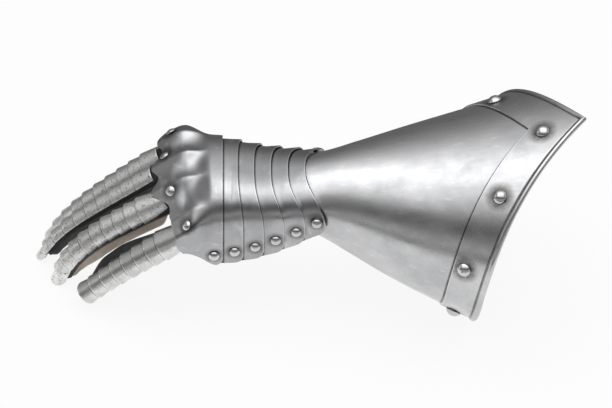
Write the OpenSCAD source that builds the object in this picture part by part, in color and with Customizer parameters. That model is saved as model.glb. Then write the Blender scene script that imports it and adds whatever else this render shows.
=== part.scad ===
// Articulated plate gauntlet for the left hand.
// The gauntlet's own frame has +X to the elbow, +Y to the thumb side and +Z out of the back of
// the hand, with its origin on the wrist's centre line. Every piece is modelled in that frame,
// then laid down as it rests on a table.

/* [Cuff] */
// Half width of the cuff where its flare starts
cuff_wrist_width = 28; // [27:0.1:29]
// Half width gained per millimetre of flare
cuff_side_flare = 0.455; // [0.3:0.005:0.55]
// Height of the cuff's back above the wrist's centre line
cuff_wrist_top = 25.5; // [24:0.5:28]
// Rise of the cuff's back per millimetre
cuff_top_slope = 0.215; // [0.15:0.005:0.3]
// Depth of the cuff's underside below the centre line at the mouth
cuff_mouth_depth = 91.5; // [80:0.5:105]
// Distance of the mouth from the wrist on the underside
cuff_length = 108; // [90:1:140]
// How far the point over the arm reaches past the underside
cuff_point = 86; // [50:1:110]
// Thickness of every steel plate
plate = 1.2; // [0.8:0.1:1.5]

/* [Cuff border] */
// Width of the strip on the underside
border_width = 23; // [16:1:30]
// Extra width of the strip under the point
border_point_extra = 17; // [5:1:25]
// Radius of the rolled edge
roll_radius = 2.2; // [1.6:0.1:3]
// Diameter of the border rivets' heads
border_rivet_d = 11.5; // [8:0.5:13]

/* [Wrist lames] */
// Distance between the pivots along the hand
pivot_pitch = 15; // [13.5:0.5:16]
// Gap between two plates that slide over each other
slide_gap = 0.88; // [0.8:0.02:1]
// Overlap of two lames on the back of the hand
lame_overlap = 9; // [7:0.5:10]
// How much wider the lames' inner side is than the cuff, on each side of the wrist
wrist_room = 4.6; // [4.2:0.1:6]
// Half width gained per millimetre towards the knuckles
hand_taper = 0.108; // [0.08:0.002:0.14]
// Diameter of the pivot rivets' heads
pivot_head_d = 8.6; // [7:0.2:10]
// Diameter of the rivets' shanks
shank_d = 4; // [3:0.1:4.6]

/* [Knuckle plate] */
// Height of the knuckle bosses over the valleys between them
boss_height = 5.5; // [3:0.1:7]
// Diameter of the knuckle rivets' heads
knuckle_rivet_d = 8; // [6:0.5:9]

/* [Fingers] */
// Overlap of one finger scale over the next
scale_overlap = 3.6; // [3:0.1:4.5]
// Thickness of the finger scales
scale_plate = 1; // [0.7:0.1:1.2]
// Gap between two finger scales
scale_gap = 0.35; // [0.3:0.05:0.5]
// Thickness of the leather strips under the scales
strip_thickness = 1.6; // [1.2:0.1:2]

/* [Hidden] */
lame_count = 5;
INDEX = 0;
MIDDLE = 1;
RING = 2;
LITTLE = 3;
THUMB = 4;
finger_names = ["index", "middle", "ring", "little", "thumb"];
scale_counts = [10, 10, 10, 8, 3];
// Pivot of each finger's first scale, on the finger's own axis; the thumb's in the thumb's frame
finger_roots = [[-112, 34, 1.5], [-117, 12, 4], [-116, -10, -2], [-101.5, -35, -12], [0, 0, 0]];
scale_pitches = [11.33, 11.55, 10.6, 10.75, 15];
// Slope of the first and last scale, and how late the finger bends
finger_slopes = [[40.2, 62.3, 3], [38.9, 69.4, 4], [35, 76, 2.6], [36, 45, 1], [0, 24, 1]];
// Radius of the first and last scale at its free edge
finger_radii = [[11.5, 9.3], [11.2, 8.8], [11.5, 8.6], [12, 7.8], [13.5, 11]];
// Half of the arc that a scale covers, and how far the arc leans to the little-finger side
finger_arcs = [58, 58, 86, 82, 72];
finger_leans = [0, 0, -14, -40, 0];
// How far the glove's finger hangs below the finger's axis
stall_hang = [4, 4, 11, 3, 6];
// How far the thumb's root stands out past the cuff's half width at the wrist
thumb_stand_off = 25; // [22:1:30]
thumb_root = [-67, cuff_wrist_width + thumb_stand_off, -26];
thumb_turn = [-50, -38, -23];

steel = [0.62, 0.63, 0.64];
bright_steel = [0.78, 0.78, 0.78];
black_leather = [0.09, 0.08, 0.08];
tan_leather = [0.66, 0.5, 0.36];

$fn = 48;
EPS = 0.01;

// Small helpers
function unit(v) = v / norm(v);
function mix(a, b, t) = a + (b - a) * t;
function clamp(v, low, high) = min(max(v, low), high);
function smooth(v, low, high) =
    let (t = clamp((v - low) / (high - low), 0, 1)) t * t * (3 - 2 * t);
// Zero well before x = 0 and x well after it, with a bend about w wide between
function ease(x, w) = (sqrt(x * x + w * w) + x) / 2;
function signed_power(v, p) = sign(v) * pow(abs(v), p);

// Sheets of plate: a grid of points on the outer face, given a thickness along its normals
function grid_normal(g, i, j, closed) =
    let (
        n = len(g),
        m = len(g[0]),
        before = g[closed ? (i + n - 1) % n : max(i - 1, 0)][j],
        after = g[closed ? (i + 1) % n : min(i + 1, n - 1)][j]
    )
    unit(cross(after - before, g[i][min(j + 1, m - 1)] - g[i][max(j - 1, 0)]));

function quad(a, b, c, d) = [[a, b, c], [a, c, d]];

// Rows run across the piece, columns along it; the outer face's normals point out of the hand
module sheet(g, t, closed = false) {
    n = len(g);
    m = len(g[0]);
    outer = [for (i = [0:n - 1]) for (j = [0:m - 1]) g[i][j]];
    inner = [for (i = [0:n - 1]) for (j = [0:m - 1]) g[i][j] - t * grid_normal(g, i, j, closed)];
    rows = closed ? n : n - 1;
    function at(i, j) = (i % n) * m + j;
    in = n * m;
    faces = concat(
        [for (i = [0:rows - 1]) for (j = [0:m - 2])
            each quad(at(i, j), at(i, j + 1), at(i + 1, j + 1), at(i + 1, j))],
        [for (i = [0:rows - 1]) for (j = [0:m - 2])
            each quad(in + at(i, j), in + at(i + 1, j), in + at(i + 1, j + 1), in + at(i, j + 1))],
        [for (i = [0:rows - 1])
            each quad(at(i, 0), at(i + 1, 0), in + at(i + 1, 0), in + at(i, 0))],
        [for (i = [0:rows - 1])
            each quad(at(i + 1, m - 1), at(i, m - 1), in + at(i, m - 1), in + at(i + 1, m - 1))],
        closed ? [] : [for (j = [0:m - 2])
            each quad(at(0, j + 1), at(0, j), in + at(0, j), in + at(0, j + 1))],
        closed ? [] : [for (j = [0:m - 2])
            each quad(at(n - 1, j), at(n - 1, j + 1), in + at(n - 1, j + 1), in + at(n - 1, j))]
    );
    polyhedron(concat(outer, inner), faces);
}

// Stands its children, drawn along +Z, on a point with +Z along the direction
module along(p, direction) {
    d = unit(direction);
    translate(p)
        rotate([0, acos(clamp(d.z, -1, 1)), atan2(d.y, d.x)])
            children();
}

// Domed rivet: the head's flat side is at z = 0, and the shank goes down through the plates
module dome_rivet(head_d, grip, head_share = 0.34) {
    head_h = head_share * head_d;
    dome_r = (head_h * head_h + head_d * head_d / 4) / (2 * head_h);
    foot_d = foot_share * shank_d;
    rotate_extrude()
        intersection() {
            union() {
                difference() {
                    translate([0, head_h - dome_r])
                        circle(dome_r);
                    translate([-2 * head_d, -4 * head_d])
                        square([4 * head_d, 4 * head_d]);
                }
                translate([0, -grip])
                    square([shank_d / 2, grip + EPS]);
                translate([0, -grip - 1])
                    square([foot_d / 2, 1 + EPS]);
            }
            translate([0, -50])
                square([50, 100]);
        }
}

// Cuff: sections across the arm are ellipses, a little squarer on the underside
cuff_swell = 2.2;
cuff_squareness = 2.15;
function cuff_half_width(x) =
    cuff_wrist_width + cuff_side_flare * ease(x, 20) + cuff_swell * pow(sin(180 * clamp(x / 125, 0, 1)), 2);
function cuff_top(x) = cuff_wrist_top + cuff_top_slope * (x + 10) + 0.00013 * pow(x + 10, 2);
function cuff_bottom(x) =
    -(19.3 + (cuff_mouth_depth - 19.3) * pow(ease(x, 12) / 113, 0.7));
// Angle 0 is the back of the arm, 90 the little-finger side
function cuff_point_at(x, angle) =
    let (
        middle = (cuff_top(x) + cuff_bottom(x)) / 2,
        b = cuff_top(x) - middle,
        p = 2 / (cos(angle) < 0 ? cuff_squareness : 2)
    )
    [x, -cuff_half_width(x) * signed_power(sin(angle), p), middle + b * signed_power(cos(angle), p)];
function cuff_normal_at(x, angle) =
    unit(cross(
        cuff_point_at(x, angle + 1) - cuff_point_at(x, angle - 1),
        cuff_point_at(x + 1, angle) - cuff_point_at(x - 1, angle)
    ));
// The mouth's edge and the strip's inner edge both sweep back from the point
function turn(angle) = abs(angle > 180 ? angle - 360 : angle);
function mouth_x(angle) = cuff_length + cuff_point * exp(-turn(angle) / 47);
function border_x(angle) =
    mouth_x(angle) - border_width - border_point_extra * exp(-turn(angle) / 40);

cuff_rings = 61;
cuff_angles = [for (i = [0:cuff_rings - 1]) 360 * i / cuff_rings];
cuff_columns = 11;

// The front edge under the last lame, shorter at the pivots than over the wrist
function cuff_front(angle) =
    mix(pivot_x(lame_count + 1) - ear - 1, -17, pow(max(cos(angle), 0), 2));

module cuff_plate() {
    plate_end = roll_radius + 0.6;
    grid = [for (angle = cuff_angles)
        [for (j = [0:cuff_columns])
            let (
                t = j / cuff_columns,
                x = mix(cuff_front(angle), mouth_x(angle) - plate_end, pow(t, 1.25)),
                p = cuff_point_at(x, angle)
            )
            tucked(p, angle, lame_count + 1)]];
    color(steel)
        difference() {
            sheet(grid, plate, true);
            pivot_holes(lame_count + 1, shank_d);
            border_rivet_holes();
        }
}

// Place of each rivet: angle, and share of the strip's width from its inner edge
border_rivet_places = [
    [3, 0.39], [34.5, 0.5], [-32, 0.3], [78, 0.35], [-78, 0.35], [130, 0.45], [-130, 0.45]
];
border_lift = 0.15;
function border_rivet_x(place) =
    mix(border_x(place[0]), mouth_x(place[0]) - roll_radius, place[1]);
function border_rivet_at(place) = cuff_point_at(border_rivet_x(place), place[0]);
function border_rivet_normal(place) = cuff_normal_at(border_rivet_x(place), place[0]);

module border_rivet_holes() {
    for (place = border_rivet_places)
        along(border_rivet_at(place), border_rivet_normal(place))
            translate([0, 0, -5])
                cylinder(h = 10, d = shank_d + 0.3);
}

// Strip and rolled edge as one loft of a closed profile
module cuff_border() {
    face = border_lift + plate;
    roll_middle = 0.4;
    // Each entry is [edge it is measured from, distance along the arm, height over the cuff]
    profile = concat(
        [[0, 0, border_lift], [0, 0.3, face], [1, -roll_radius - 2.4, face]],
        [[1, -roll_radius - 0.7, face - 0.2]],
        [for (a = [140:-30:-160]) [1, roll_radius * cos(a), roll_middle + roll_radius * sin(a)]],
        [[1, -roll_radius - 0.3, border_lift]]
    );
    n = len(profile);
    points = [for (angle = cuff_angles) for (p = profile)
        let (
            x = (p[0] == 0 ? border_x(angle) : mouth_x(angle)) + p[1],
            s = cuff_point_at(x, angle)
        )
        s + p[2] * cuff_normal_at(x, angle)];
    function at(i, j) = (i % cuff_rings) * n + j % n;
    color(steel)
        difference() {
            polyhedron(
                points,
                [for (i = [0:cuff_rings - 1]) for (j = [0:n - 1])
                    each quad(at(i, j), at(i, j + 1), at(i + 1, j + 1), at(i + 1, j))]
            );
            border_rivet_holes();
        }
}

module cuff_border_rivets() {
    color(bright_steel)
        for (place = border_rivet_places)
            let (n = border_rivet_normal(place))
                along(border_rivet_at(place) + (border_lift + plate + rivet_play) * n, n)
                    dome_rivet(border_rivet_d, border_lift + 2 * plate + 0.4);
}

// Hand under the lames: a flat-backed arch on upright side walls.
// u is the distance from the wrist towards the knuckles.
first_pivot_x = -1;
function pivot_x(k) = first_pivot_x - pivot_pitch * (lame_count + 1 - k);
function pivot_z(k) = let (u = -pivot_x(k)) 5 - 0.66 * u + 0.0041 * u * u;
function hand_half_width(x) =
    cuff_wrist_width + wrist_room - hand_taper * x + 0.35 * ease(x, 6);
function hand_height(x) = 22.7 + 0.00243 * pow(x + 23, 2);
function hand_squareness(x) = 2 + 0.55 * clamp(-x / 69, 0, 1);
function hand_middle(x) = 1.5 * smooth(-x, 40, 69);
// The back of the hand drops to the little finger, away from the wrist
hand_lean = 0.1;
function lean_at(x, y) = hand_lean * clamp(-x / 69, 0, 1) * ease(-y, 8);
function hand_low(x) = let (u = max(-x, -6)) -8.7 - 0.66 * u + 0.0047 * u * u;

// Station across the hand: [angle from the back, share of the wall below the arch]
wall_steps = 3;
arch_steps = 22;
stations = concat(
    [for (i = [0:wall_steps - 1]) [-90, 1 - i / wall_steps]],
    [for (i = [0:arch_steps]) [180 * i / arch_steps - 90, 0]],
    [for (i = [1:wall_steps]) [90, i / wall_steps]]
);
function hand_point(x, station, out, low) =
    let (
        angle = station[0],
        p = 2 / hand_squareness(x),
        a = hand_half_width(x) + out,
        b = hand_height(x) + out,
        c = hand_middle(x)
    )
    let (y = -a * (station[1] > 0 ? sign(angle) : signed_power(sin(angle), p)))
    station[1] > 0
        ? [x, y, mix(c - lean_at(x, y), low, station[1])]
        : [x, y, c - lean_at(x, y) + b * signed_power(cos(angle), p)];

// Rear edge of plate k (k = 1 is the knuckle plate), on the back of the hand and on the side
ear = 6.5;
function edge_lead(k) = 15 * pow((k - 1) / lame_count, 0.8);
function rear_edge(k, angle) =
    pivot_x(k) + ear - edge_lead(k) * pow(cos(angle), 2);
// Front edge of lame k, under plate k
function front_edge(k, angle) =
    mix(pivot_x(k) - ear, rear_edge(k, 0) - lame_overlap, pow(cos(angle), 2));

// Rise of a plate from its covered front edge to its free rear edge
function shingle(length) = (plate + slide_gap) * length / (length - lame_overlap);
lame_rise = shingle(pivot_pitch + 2 * ear - 2);

// Keeps a point that lies under plate k inside the path that the plate's rear edge sweeps.
// The edge slides back by this share of its height over the pivot.
slide_share = 0.115;
function tucked(p, angle, k) =
    let (
        edge = hand_point(rear_edge(k, angle), [turn(angle), 0], lame_rise - plate, 0),
        height = edge.z - pivot_z(k),
        reach = norm([edge.x - pivot_x(k), height]) - slide_gap,
        end = edge.x + slide_share * height,
        run = min(p.x, end) - pivot_x(k),
        drop = p.z - pivot_z(k) - sqrt(max(reach * reach - run * run, 0)) - max(0, p.x - end)
    )
    turn(angle) >= 90 || drop <= 0 ? p : p - [0, 0, drop * smooth(height, 6, 14)];

lame_columns = 7;
corner = 6;
function lame_grid(k) = [for (s = stations)
    let (x0 = front_edge(k, s[0]), x1 = rear_edge(k + 1, s[0]))
    [for (j = [0:lame_columns])
        let (
            t = j / lame_columns,
            x = mix(x0, x1, t),
            cut = max(0, x - x1 + corner, x0 + corner - x),
            rounding = corner - sqrt(corner * corner - min(cut, corner) * min(cut, corner)),
            low = min(hand_low(x) + rounding, -2),
            p = hand_point(x, s, lame_rise * t, low)
        )
        tucked(p, s[0], k)]];

module wrist_lame(k) {
    color(steel)
        difference() {
            sheet(lame_grid(k), plate);
            pivot_holes(k, shank_d);
            pivot_holes(k + 1, shank_d);
        }
}

// The pivots run along Y through both side walls
pivot_play = 0.4;
module pivot_holes(k, d) {
    translate([pivot_x(k), 0, pivot_z(k)])
        rotate([90, 0, 0])
            cylinder(h = 140, d = d + pivot_play, center = true);
}

// Half widths near pivot k: of the covering plate's outer face, widest under the rivet's head,
// and of the covered plate's outer face, narrowest over its foot
function covering_half(k, x) =
    hand_half_width(x)
    + lame_rise * (k == 1 ? 1 : (x - pivot_x(k - 1) + ear) / (pivot_pitch + 2 * ear));
function covered_half(k, x) =
    k > lame_count
        ? cuff_half_width(x) - cuff_slack
        : hand_half_width(x) + lame_rise * (x - pivot_x(k) + ear) / (pivot_pitch + 2 * ear);
foot_share = 1.7;
rivet_play = 0.15;
cuff_slack = 0.95;

module wrist_rivets(k) {
    x = pivot_x(k);
    head = pivot_head_d / 2;
    foot = foot_share * shank_d / 2;
    outer = max(covering_half(k, x - head), covering_half(k, x + head)) + rivet_play;
    inner = min(covered_half(k, x - foot), covered_half(k, x + foot)) - plate - rivet_play;
    color(bright_steel)
        for (side = [-1, 1])
            along([x, side * outer, pivot_z(k)], [0, side, 0])
                dome_rivet(pivot_head_d, outer - inner);
}

// Knuckle plate: an arch with a boss over each knuckle, bent down towards the fingers
knuckle_x = [-99, -97, -97, -90];
knuckle_top = [29.5, 29.5, 24.2, 17.5];
ridge_back = [0.34, 0.28, 0.24, 0.3];
ridge_front = [0.82, 0.8, 0.76, 0.8];
ridge_bend = 5;
plate_half_width = 49;
plate_rear = -69.5;
plate_wrap = 15;
// Height of a finger's crest, highest at its knuckle
function crest(f, x) =
    let (
        d = x - knuckle_x[f],
        bent = sqrt(d * d + ridge_bend * ridge_bend) - ridge_bend
    )
    knuckle_top[f] - (ridge_front[f] + ridge_back[f]) / 2 * bent
        - (ridge_back[f] - ridge_front[f]) / 2 * d;
// Height of the crests at any place across the hand
function between_fingers(values, y) =
    lookup(y, [for (f = [LITTLE:-1:INDEX]) [finger_roots[f].y, values[f]]]);
function crests(x, y) = between_fingers([for (f = [INDEX:LITTLE]) crest(f, x)], y);
function to_front(x) = smooth(-x, 81.5, 97);
function plate_width(x) =
    mix(hand_half_width(x) + lame_rise, plate_half_width, smooth(-x, 82, 97));
function plate_spring(x, y) =
    mix(hand_middle(plate_rear) - lean_at(plate_rear, y), crests(x, y) - plate_wrap, to_front(x));
function plate_arch(x, y) =
    let (
        n = mix(hand_squareness(plate_rear), 4.5, to_front(x)),
        rear_top = plate_spring(plate_rear, y) + hand_height(plate_rear) + lame_rise,
        top = mix(rear_top, crests(x, y) - boss_height, to_front(x)),
        w = clamp(1 - pow(abs(y) / plate_width(x), n), 0, 1)
    )
    mix(plate_spring(x, y), top, pow(w, 1 / n));
// A boss narrows and fades towards the wrist
function boss(f, x, y) =
    let (share = smooth(-x, 78, 97), width = mix(3.5, 8, share))
    boss_height * share * exp(-pow(abs(y - finger_roots[f].y) / width, mix(1.3, 2, to_front(x + 12))));
function plate_top(x, y) =
    plate_arch(x, y) + boss(INDEX, x, y) + boss(MIDDLE, x, y) + boss(RING, x, y)
        + boss(LITTLE, x, y);

// Front edge: a lobe over each finger and a notch between two fingers
lobe_x = [-117.5, -122, -122.5, -107.5];
notch_depth = 5.5;
function lobe_between(f, y) =
    let (
        ya = finger_roots[f].y,
        yb = finger_roots[f + 1].y,
        t = clamp((y - ya) / (yb - ya), 0, 1)
    )
    mix(lobe_x[f], lobe_x[f + 1], t) + notch_depth * pow(sin(180 * t), 2);
function plate_front(y) =
    y > finger_roots[INDEX].y ? lobe_x[INDEX] + 8 * pow((y - finger_roots[INDEX].y) / 14, 2)
    : y > finger_roots[MIDDLE].y ? lobe_between(INDEX, y)
    : y > finger_roots[RING].y ? lobe_between(MIDDLE, y)
    : y > finger_roots[LITTLE].y ? lobe_between(RING, y)
    : lobe_x[LITTLE] + 3 * pow((finger_roots[LITTLE].y - y) / 12.5, 2);

plate_across = 54;
plate_along = 17;
plate_stations = concat(
    [for (i = [0:wall_steps - 1]) [90, 1 - i / wall_steps]],
    [for (i = [0:plate_across]) [90 - 180 * i / plate_across, 0]],
    [for (i = [1:wall_steps]) [-90, i / wall_steps]]
);
function plate_low(x) = mix(-32, -15, smooth(-x, 73, 97));
function plate_point(s, t) =
    let (
        front = plate_front(plate_half_width * sin(s[0])) + 5 * s[1] * s[1],
        x = mix(front, plate_rear, t),
        y = plate_width(x) * sin(s[0]),
        edge = x - plate_rear + corner,
        cut = clamp(edge, 0, corner),
        low = plate_low(x) + corner - sqrt(corner * corner - cut * cut)
    )
    [x, y, mix(plate_top(x, y), low, s[1])];

module knuckle_plate() {
    grid = [for (s = plate_stations)
        [for (j = [0:plate_along]) plate_point(s, j / plate_along)]];
    color(steel)
        difference() {
            sheet(grid, plate);
            pivot_holes(1, shank_d);
            for (f = [INDEX:LITTLE])
                at_knuckle_rivet(f)
                    cylinder(h = 10, d = shank_d + 0.3, center = true);
        }
}

knuckle_rivet_x = [-107, -111.4, -107.5, -95.6];
knuckle_rivet_shift = [5, 7, -4, -9];
module at_knuckle_rivet(f) {
    x = knuckle_rivet_x[f];
    y = finger_roots[f].y + knuckle_rivet_shift[f];
    n = cross([1, 0, plate_top(x + 1, y) - plate_top(x, y)],
              [0, 1, plate_top(x, y + 1) - plate_top(x, y)]);
    along([x, y, plate_top(x, y)] + unit(n), n)
        children();
}

module knuckle_rivets() {
    color(bright_steel)
        for (f = [INDEX:LITTLE])
            at_knuckle_rivet(f)
                dome_rivet(knuckle_rivet_d, plate + 2, 0.22);
}

// Fingers: scale k of finger f starts at its pivot and reaches one overlap past the next pivot
function slope(f, k) =
    let (s = finger_slopes[f], t = k / (scale_counts[f] - 1))
    mix(s[0], s[1], pow(t, s[2]));
function finger_step(f, k) = scale_pitches[f] * [-cos(slope(f, k)), 0, -sin(slope(f, k))];
function pivot(f, k) = k == 0 ? finger_roots[f] : pivot(f, k - 1) + finger_step(f, k - 1);
function free_radius(f, k) =
    mix(finger_radii[f][0], finger_radii[f][1], k / (scale_counts[f] - 1));
function covered_radius(f, k) =
    free_radius(f, k)
    - (scale_plate + scale_gap) * (scale_pitches[f] + scale_overlap) / scale_pitches[f];

// Wedge that keeps the arc from -half to +half about +X
module arc_wedge(half, length) {
    reach = 40;
    linear_extrude(length)
        polygon([
            [-EPS, 0],
            reach * [cos(half), sin(half)],
            reach * [1, max(1, sin(half))],
            reach * [1, -max(1, sin(half))],
            reach * [cos(half), -sin(half)]
        ]);
}

// The thumb is modelled like a finger, in a frame of its own
module on_hand(f) {
    if (f == THUMB)
        translate(thumb_root)
            rotate(thumb_turn)
                children();
    else
        children();
}

module finger_scale(f, k) {
    length = scale_pitches[f] + scale_overlap;
    r0 = covered_radius(f, k);
    r1 = free_radius(f, k);
    slope_r = (r1 - r0) / length;
    color(bright_steel)
        on_hand(f)
            translate(pivot(f, k))
                rotate([0, -90 - slope(f, k), 0])
                    intersection() {
                        difference() {
                            cylinder(h = length, r1 = r0, r2 = r1);
                            translate([0, 0, -1])
                                cylinder(
                                    h = length + 2,
                                    r1 = r0 - scale_plate - slope_r,
                                    r2 = r1 - scale_plate + slope_r
                                );
                        }
                        rotate([0, 0, finger_leans[f]])
                            arc_wedge(finger_arcs[f], length);
                        if (k == scale_counts[f] - 1)
                            fingertip(r1, length);
                    }
}

// Rounds the end of a finger's last scale
module fingertip(r, length) {
    rotate([0, 90, 0])
        linear_extrude(2 * r)
            union() {
                translate([-length + r, 0])
                    circle(r);
                translate([-length + r, -r])
                    square([length, 2 * r]);
            }
}

// A solid that follows a finger under its scales, with the same section at every pivot.
// Reach is the share of the last scale that it covers, and lead gives the section's top a first
// place behind the finger's first pivot.
module finger_loft(f, section, reach, lead = []) {
    n = scale_counts[f];
    m = len(section);
    function seat(k) = covered_radius(f, min(k, n - 1)) - scale_plate - strip_gap;
    function ring(p, a, r) =
        [for (c = section) p + [0, c[0] * r, 0] + (c[1] * r + c[2]) * [-sin(a), 0, cos(a)]];
    rings = concat(
        [for (p = lead) ring(p - [0, 0, section[0][1] * seat(0)], 0, seat(0))],
        [for (k = [0:n])
            let (p = k < n ? pivot(f, k) : pivot(f, n - 1) + reach * finger_step(f, n - 1))
            ring(p, slope(f, min(k, n - 1)), seat(k))]
    );
    last = len(rings) - 1;
    polyhedron(
        [for (r = rings) each r],
        concat(
            [[for (c = [0:m - 1]) c]],
            [for (k = [0:last - 1]) for (c = [0:m - 1])
                each quad(m * k + c, m * k + m + c, m * k + m + (c + 1) % m, m * k + (c + 1) % m)],
            [[for (c = [m - 1:-1:0]) m * last + c]]
        )
    );
}

// Leather strips that carry the scales; a section's point is [share of the seat's radius across,
// the same upwards, millimetres upwards]
strip_gap = 0.3;
strip_half = 0.55;
strip_reach = 0.8;
strip_top = sqrt(1 - strip_half * strip_half);
// The tongue of a strip lies against the inside of the knuckle plate
tongue = 9;
function strip_tongue(f) =
    let (x = finger_roots[f].x + tongue, y = finger_roots[f].y, side = strip_half * finger_radii[f][0])
    [x, y, min(plate_top(x, y - side), plate_top(x, y + side)) - 2 * plate - 5 * strip_gap];
module finger_strips() {
    color(black_leather)
        for (f = [INDEX:THUMB])
            on_hand(f)
                finger_loft(f, [
                    [-strip_half, strip_top, 0],
                    [strip_half, strip_top, 0],
                    [strip_half, strip_top, -strip_thickness],
                    [-strip_half, strip_top, -strip_thickness]
                ], strip_reach, f == THUMB ? [] : [strip_tongue(f)]);
}

// The glove's fingers, flattened and hanging below the strips
stall_reach = 0.15;
module finger_stalls() {
    top = -strip_thickness - strip_gap;
    color(tan_leather)
        for (f = [INDEX:THUMB])
            on_hand(f)
                finger_loft(f, [
                    [-0.5, strip_top, top],
                    [0.5, strip_top, top],
                    [0.8, 0.3, 0],
                    [0.8, 0, -0.5 * stall_hang[f]],
                    [0.45, 0, -stall_hang[f]],
                    [-0.45, 0, -stall_hang[f]],
                    [-0.8, 0, -0.5 * stall_hang[f]],
                    [-0.8, 0.3, 0]
                ], stall_reach);
}

// The glove's hand, a leather tube from inside the cuff to the knuckles
palm_front = -97;
palm_back = 16;
palm_leather = 1.8;
palm_columns = 14;
palm_stations = 28;
function palm_point(x, angle) =
    let (
        front = smooth(-x, 66, 97),
        neck = smooth(x, -50, -17),
        half = hand_half_width(x) - 4.5 - 6.5 * neck,
        top = mix(hand_height(x) - 7 - 8 * neck, 12, front),
        bottom = mix(24 - 6 * neck, 15, front),
        lean = 0.15 * front * half * cos(angle)
    )
    [x, half * cos(angle), (sin(angle) > 0 ? top : bottom) * sin(angle) + lean - 4 * front];
module glove_palm() {
    color(tan_leather)
        sheet(
            [for (i = [0:palm_stations - 1])
                [for (j = [0:palm_columns])
                    palm_point(mix(palm_front, palm_back, j / palm_columns), -360 * i / palm_stations)]],
            palm_leather,
            true
        );
}

// How the gauntlet lies on a table: on its fingertips and the cuff's mouth
rest_roll = 0;
rest_pitch = -2.51;
rest_shift = [4.8, 0, 87.84];
module at_rest() {
    translate(rest_shift)
        rotate([rest_roll, rest_pitch, 0])
            children();
}

at_rest() cuff_plate();
at_rest() cuff_border();
at_rest() cuff_border_rivets();
for (k = [1:lame_count])
    at_rest() wrist_lame(k);
for (k = [1:lame_count + 1])
    at_rest() wrist_rivets(k);
at_rest() knuckle_plate();
at_rest() knuckle_rivets();
at_rest() finger_strips();
at_rest() finger_stalls();
at_rest() glove_palm();
for (f = [INDEX:THUMB])
    for (k = [0:scale_counts[f] - 1])
        at_rest() finger_scale(f, k);
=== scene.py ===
"""Looks of an articulated plate gauntlet for the left hand, on a white studio table."""
import math

import bpy
from mathutils import Matrix, Vector


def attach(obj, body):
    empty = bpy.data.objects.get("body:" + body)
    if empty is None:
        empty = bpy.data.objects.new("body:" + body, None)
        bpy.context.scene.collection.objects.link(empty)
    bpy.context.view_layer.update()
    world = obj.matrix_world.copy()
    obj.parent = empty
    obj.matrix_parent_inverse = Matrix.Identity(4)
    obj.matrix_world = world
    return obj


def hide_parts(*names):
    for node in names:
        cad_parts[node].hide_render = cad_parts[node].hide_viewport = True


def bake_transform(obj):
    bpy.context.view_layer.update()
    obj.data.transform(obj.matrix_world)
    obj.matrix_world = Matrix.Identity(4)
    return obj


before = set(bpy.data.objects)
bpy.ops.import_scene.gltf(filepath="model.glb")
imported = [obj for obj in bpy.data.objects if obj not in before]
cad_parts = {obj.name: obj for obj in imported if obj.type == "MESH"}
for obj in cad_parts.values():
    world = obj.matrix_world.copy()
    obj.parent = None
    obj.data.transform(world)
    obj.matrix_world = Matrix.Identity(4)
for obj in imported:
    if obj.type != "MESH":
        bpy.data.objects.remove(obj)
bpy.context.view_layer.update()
bpy.ops.object.select_all(action="DESELECT")
scene = bpy.context.scene

# Measures of the gauntlet in its own frame, in millimetres: +X to the elbow, +Y to the thumb
# side, +Z out of the back of the hand. Angles are in degrees, from the back of the hand or finger
# round to the little-finger side.
PLATE = 1.2
# How the gauntlet's own frame is pitched and moved as it rests on the table
PITCH_DOWN = math.radians(-2.51)
REST_SHIFT = (4.8, 0.0, 87.84)

CUFF_WRIST_WIDTH = 28
CUFF_SIDE_FLARE = 0.455
CUFF_SIDE_BEND = 20
CUFF_SWELL = 2.2
CUFF_SWELL_LENGTH = 125
CUFF_SQUARENESS = 2.15
CUFF_TOP_X = -10
CUFF_WRIST_TOP = 25.5
CUFF_TOP_SLOPE = 0.215
CUFF_TOP_CURVE = 0.00013
CUFF_WRIST_DEPTH = 19.3
CUFF_MOUTH_DEPTH = 91.5
CUFF_DEPTH_LENGTH = 113
CUFF_LENGTH = 108
CUFF_POINT = 86
CUFF_POINT_SPREAD = 47
BORDER_WIDTH = 23
BORDER_POINT_EXTRA = 17
BORDER_POINT_SPREAD = 40
BORDER_LIFT = 0.15
ROLL_RADIUS = 2.2
ROLL_GROOVE = 2.4
# Angle of each rivet, and its share of the strip's width
BORDER_RIVETS = [(3, 0.39), (34.5, 0.5), (-32, 0.3), (78, 0.35), (-78, 0.35), (130, 0.45),
                 (-130, 0.45)]

LAMES = 5
LAST_PIVOT_X = -1
PIVOT_PITCH = 15
# Gap of a plate to the one over it, and to the path of that one's edge
SLIDE_GAP = 0.88
CLOSE_GAP = 0.42
# How far the edge slides at the wrist's limit, as a share of its height over the pivot
SLIDE_SHARE = 0.115
LAME_OVERLAP = 9
# Length of a lame on either side of its pivot, and the rounding of its corners
EAR = 6.5
CORNER = 6
HAND_WRIST_WIDTH = 32.6
HAND_TAPER = 0.108
HAND_WRIST_HEIGHT = 22.7
HAND_RISE = 0.00243
HAND_LOWEST_X = -23
HAND_LEAN = 0.1
SIDE_DROP = 9.5
# Share of a lame's breadth that each side wall takes up
WALL_SHARE = 0.09
PIVOT_HOLE = 4.4
RIVET_HOLE = 4.3

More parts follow.
